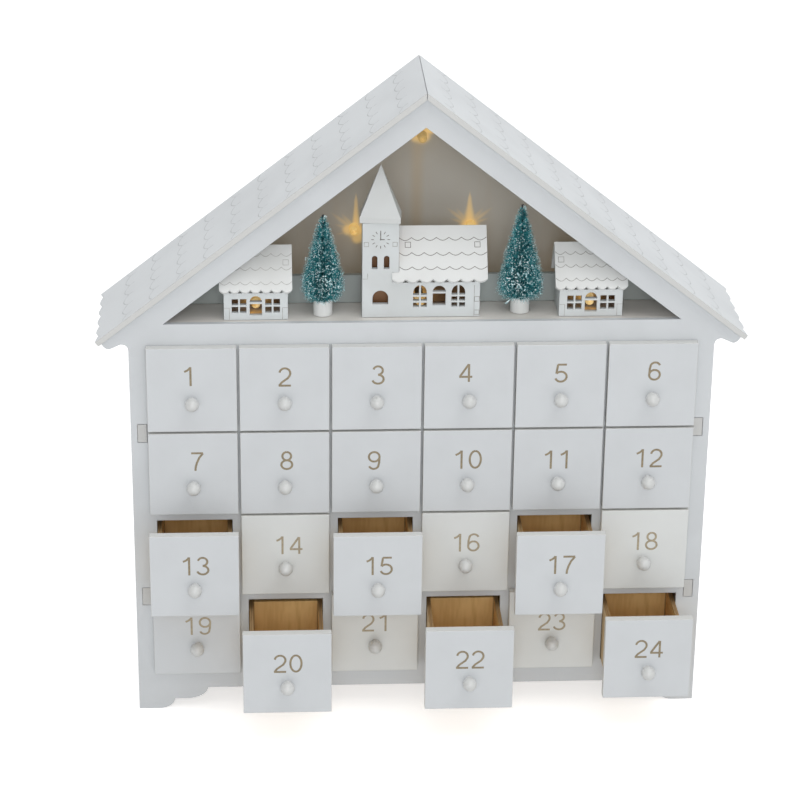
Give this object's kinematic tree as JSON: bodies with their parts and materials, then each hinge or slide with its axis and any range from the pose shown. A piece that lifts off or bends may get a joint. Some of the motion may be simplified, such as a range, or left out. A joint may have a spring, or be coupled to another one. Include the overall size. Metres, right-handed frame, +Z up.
{
  "type": "advent calendar",
  "caption": "House-shaped wooden advent calendar: a grid of numbered pull-out drawers below a gable opening with a small lit village, under a pitched roof with scalloped eaves.",
  "frame": {"origin": "middle of the footprint at table level, drawers as pulled out at rest", "axes": "+Z up, -Y towards the viewer (the way the drawers pull out), +X to the viewer's right"},
  "size_m": [0.3608, 0.1298, 0.3738],
  "materials": {
    "painted_board": "white paint, matt, on laser-cut board",
    "bare_board": "bare laser-cut plywood with browned edges",
    "bristle": "teal bristles tipped with white flock",
    "lamp": "clear amber resin, lit",
    "holder_plastic": "fine-textured white plastic"
  },
  "bodies": {
    "case": {"front_panel": "painted_board", "back_panel": "painted_board", "left_side": "painted_board", "right_side": "painted_board", "bottom_board": "bare_board", "village_floor": "painted_board", "shelf_1": "bare_board", "shelf_2": "bare_board", "shelf_3": "bare_board", "divider_1": "bare_board", "divider_2": "bare_board", "divider_3": "bare_board", "divider_4": "bare_board", "divider_5": "bare_board", "right_roof": "painted_board", "left_roof": "painted_board", "wiring_rail": "painted_board", "church_walls": "painted_board", "church_roof": "painted_board", "church_spire": "painted_board", "left_house_walls": "painted_board", "left_house_roof": "painted_board", "right_house_walls": "painted_board", "right_house_roof": "painted_board", "left_tree_base": "painted_board", "left_tree": "bristle", "right_tree_base": "painted_board", "right_tree": "bristle", "left_house_bulb": "lamp", "church_bulb": "lamp", "right_house_bulb": "lamp", "left_star_bulb": "lamp", "right_star_bulb": "lamp", "battery_box": "holder_plastic"},
    "drawer_01": {"drawer_01": "painted_board"},
    "drawer_02": {"drawer_02": "painted_board"},
    "drawer_03": {"drawer_03": "painted_board"},
    "drawer_04": {"drawer_04": "painted_board"},
    "drawer_05": {"drawer_05": "painted_board"},
    "drawer_06": {"drawer_06": "painted_board"},
    "drawer_07": {"drawer_07": "painted_board"},
    "drawer_08": {"drawer_08": "painted_board"},
    "drawer_09": {"drawer_09": "painted_board"},
    "drawer_10": {"drawer_10": "painted_board"},
    "drawer_11": {"drawer_11": "painted_board"},
    "drawer_12": {"drawer_12": "painted_board"},
    "drawer_13": {"drawer_13": "painted_board"},
    "drawer_14": {"drawer_14": "painted_board"},
    "drawer_15": {"drawer_15": "painted_board"},
    "drawer_16": {"drawer_16": "painted_board"},
    "drawer_17": {"drawer_17": "painted_board"},
    "drawer_18": {"drawer_18": "painted_board"},
    "drawer_19": {"drawer_19": "painted_board"},
    "drawer_20": {"drawer_20": "painted_board"},
    "drawer_21": {"drawer_21": "painted_board"},
    "drawer_22": {"drawer_22": "painted_board"},
    "drawer_23": {"drawer_23": "painted_board"},
    "drawer_24": {"drawer_24": "painted_board"},
    "battery_cover": {"battery_cover": "holder_plastic"},
    "battery_switch": {"battery_switch": "holder_plastic"}
  },
  "joints": [
    {"name": "slide_01", "type": "slide", "parent": "case", "child": "drawer_01", "axis": [0, -1, 0], "range_m": [0, 0.048]},
    {"name": "slide_02", "type": "slide", "parent": "case", "child": "drawer_02", "axis": [0, -1, 0], "range_m": [0, 0.048]},
    {"name": "slide_03", "type": "slide", "parent": "case", "child": "drawer_03", "axis": [0, -1, 0], "range_m": [0, 0.048]},
    {"name": "slide_04", "type": "slide", "parent": "case", "child": "drawer_04", "axis": [0, -1, 0], "range_m": [0, 0.048]},
    {"name": "slide_05", "type": "slide", "parent": "case", "child": "drawer_05", "axis": [0, -1, 0], "range_m": [0, 0.048]},
    {"name": "slide_06", "type": "slide", "parent": "case", "child": "drawer_06", "axis": [0, -1, 0], "range_m": [0, 0.048]},
    {"name": "slide_07", "type": "slide", "parent": "case", "child": "drawer_07", "axis": [0, -1, 0], "range_m": [0, 0.048]},
    {"name": "slide_08", "type": "slide", "parent": "case", "child": "drawer_08", "axis": [0, -1, 0], "range_m": [0, 0.048]},
    {"name": "slide_09", "type": "slide", "parent": "case", "child": "drawer_09", "axis": [0, -1, 0], "range_m": [0, 0.048]},
    {"name": "slide_10", "type": "slide", "parent": "case", "child": "drawer_10", "axis": [0, -1, 0], "range_m": [0, 0.048]},
    {"name": "slide_11", "type": "slide", "parent": "case", "child": "drawer_11", "axis": [0, -1, 0], "range_m": [0, 0.048]},
    {"name": "slide_12", "type": "slide", "parent": "case", "child": "drawer_12", "axis": [0, -1, 0], "range_m": [0, 0.048]},
    {"name": "slide_13", "type": "slide", "parent": "case", "child": "drawer_13", "axis": [0, -1, 0], "range_m": [-0.025, 0.023]},
    {"name": "slide_14", "type": "slide", "parent": "case", "child": "drawer_14", "axis": [0, -1, 0], "range_m": [0, 0.048]},
    {"name": "slide_15", "type": "slide", "parent": "case", "child": "drawer_15", "axis": [0, -1, 0], "range_m": [-0.028, 0.02]},
    {"name": "slide_16", "type": "slide", "parent": "case", "child": "drawer_16", "axis": [0, -1, 0], "range_m": [0, 0.048]},
    {"name": "slide_17", "type": "slide", "parent": "case", "child": "drawer_17", "axis": [0, -1, 0], "range_m": [-0.03, 0.018]},
    {"name": "slide_18", "type": "slide", "parent": "case", "child": "drawer_18", "axis": [0, -1, 0], "range_m": [0, 0.048]},
    {"name": "slide_19", "type": "slide", "parent": "case", "child": "drawer_19", "axis": [0, -1, 0], "range_m": [0, 0.048]},
    {"name": "slide_20", "type": "slide", "parent": "case", "child": "drawer_20", "axis": [0, -1, 0], "range_m": [-0.046, 0.002]},
    {"name": "slide_21", "type": "slide", "parent": "case", "child": "drawer_21", "axis": [0, -1, 0], "range_m": [0, 0.048]},
    {"name": "slide_22", "type": "slide", "parent": "case", "child": "drawer_22", "axis": [0, -1, 0], "range_m": [-0.045, 0.003]},
    {"name": "slide_23", "type": "slide", "parent": "case", "child": "drawer_23", "axis": [0, -1, 0], "range_m": [0, 0.048]},
    {"name": "slide_24", "type": "slide", "parent": "case", "child": "drawer_24", "axis": [0, -1, 0], "range_m": [-0.036, 0.012]},
    {"name": "cover_hinge", "type": "hinge", "parent": "case", "child": "battery_cover", "pos_m": [-0.00325, 0.06303, 0.2447], "axis": [-1, 0, 0], "range_deg": [0, 100]},
    {"name": "switch_slide", "type": "slide", "parent": "case", "child": "battery_switch", "axis": [1, 0, 0], "range_m": [0, 0.003]}
  ]
}
